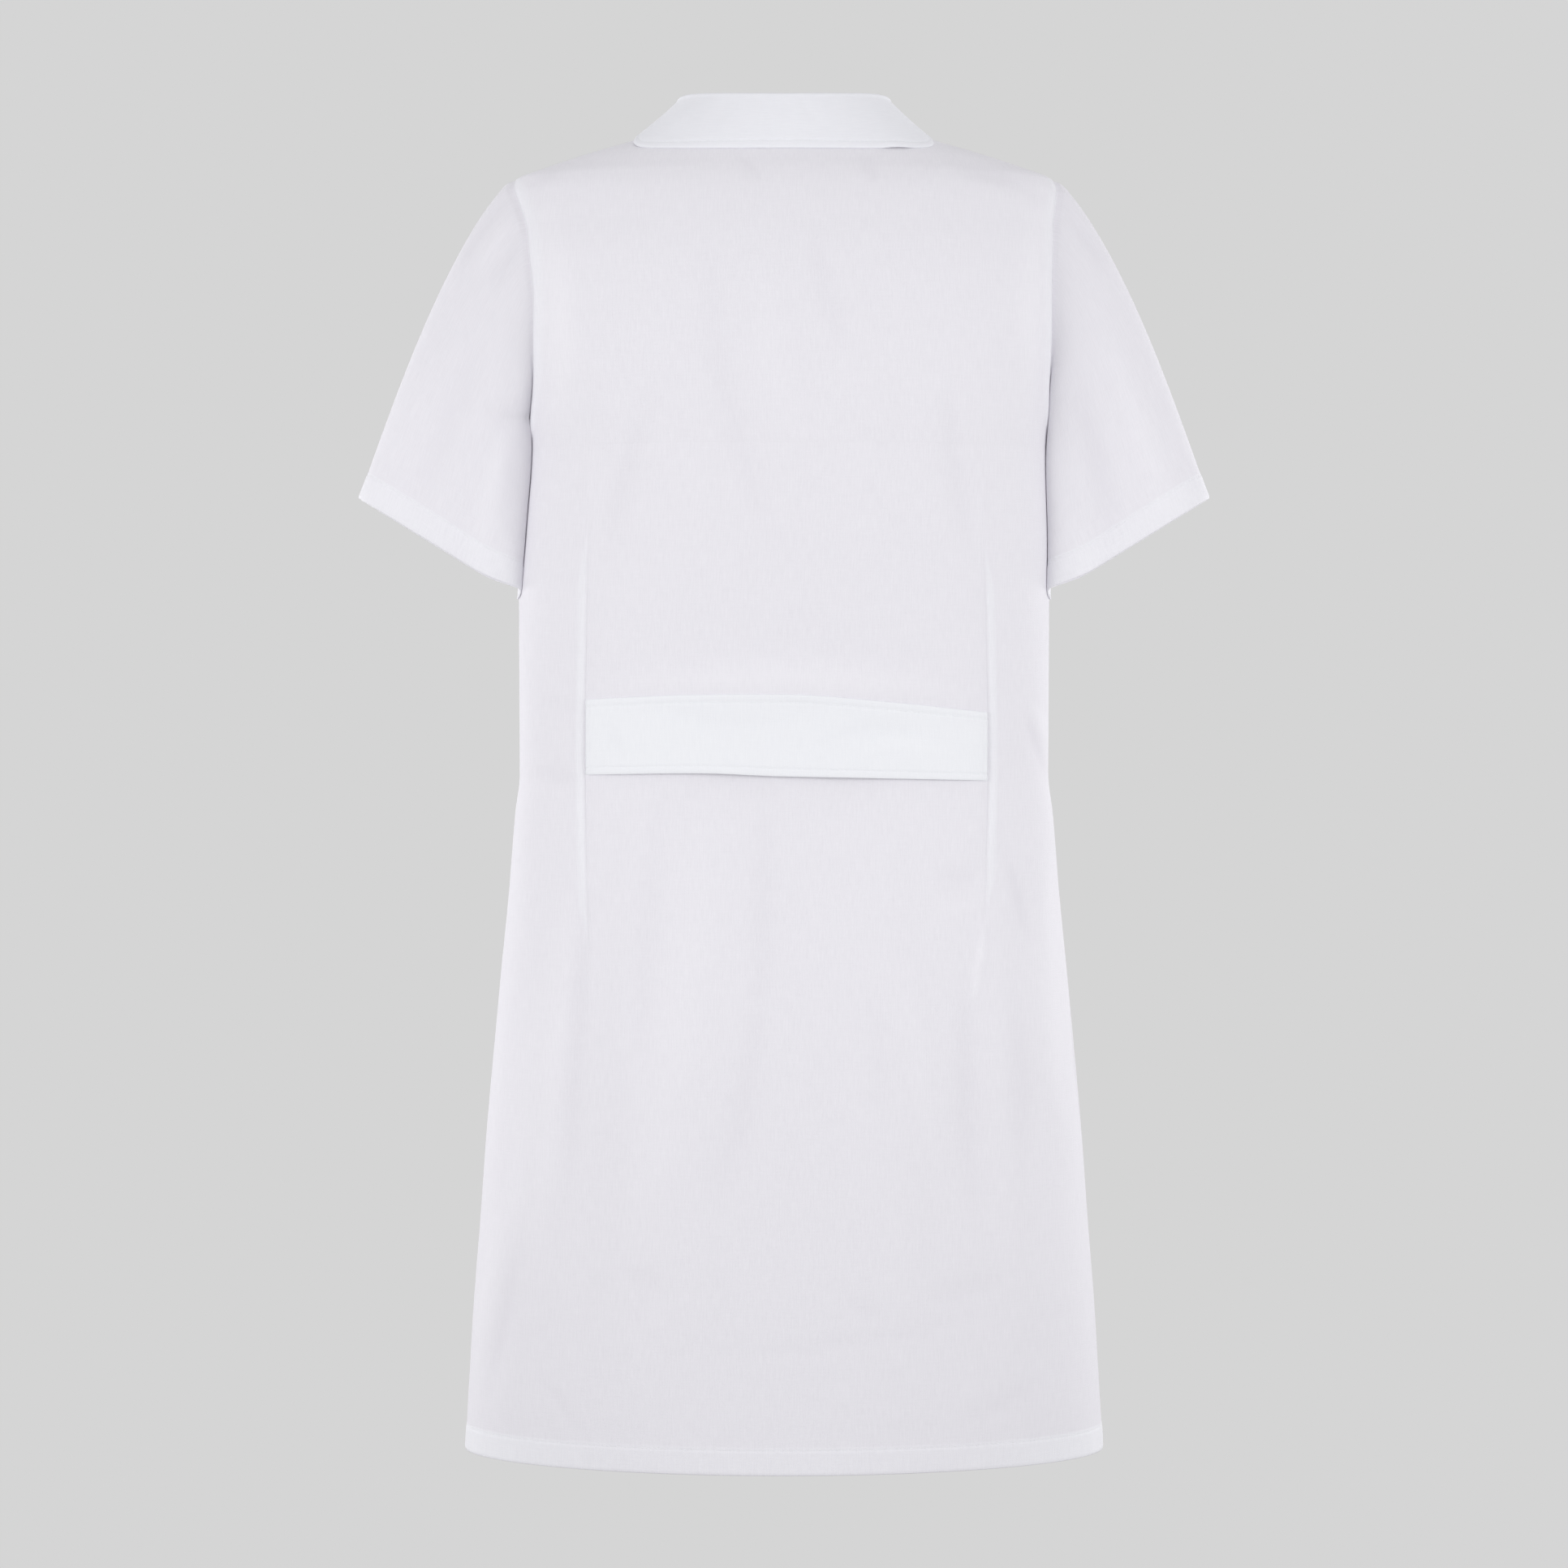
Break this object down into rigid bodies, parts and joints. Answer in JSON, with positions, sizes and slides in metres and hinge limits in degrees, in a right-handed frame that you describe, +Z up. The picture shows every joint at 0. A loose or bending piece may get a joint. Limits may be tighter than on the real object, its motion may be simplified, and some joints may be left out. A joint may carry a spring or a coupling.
{
  "type": "medical tunic dress, worn form without its wearer",
  "caption": "Knee-length short-sleeved medical tunic with a fold-down collar, darted back, half belt across the back waist and buttoned front, hollow and open as worn.",
  "frame": {"origin": "midway between the two side neck points, where the wearer's shoulders carry the tunic", "axes": "+Z up from hem to collar, +Y out of the wearer's back, +X to the wearer's left"},
  "size_m": [0.6464, 0.2918, 1.0213],
  "materials": {
    "white_cloth": "matte woven polyester and cotton",
    "white_double_cloth": "the same cloth, two layers",
    "white_plastic": "satin"
  },
  "bodies": {
    "root": {"back": "white_cloth", "front_left": "white_cloth", "front_right": "white_cloth", "sleeve_left": "white_cloth", "sleeve_right": "white_cloth", "collar": "white_double_cloth", "half_belt": "white_double_cloth", "button_1": "white_plastic", "button_2": "white_plastic", "button_3": "white_plastic", "button_4": "white_plastic", "button_5": "white_plastic", "button_6": "white_plastic", "button_7": "white_plastic", "button_8": "white_plastic"}
  },
  "joints": []
}
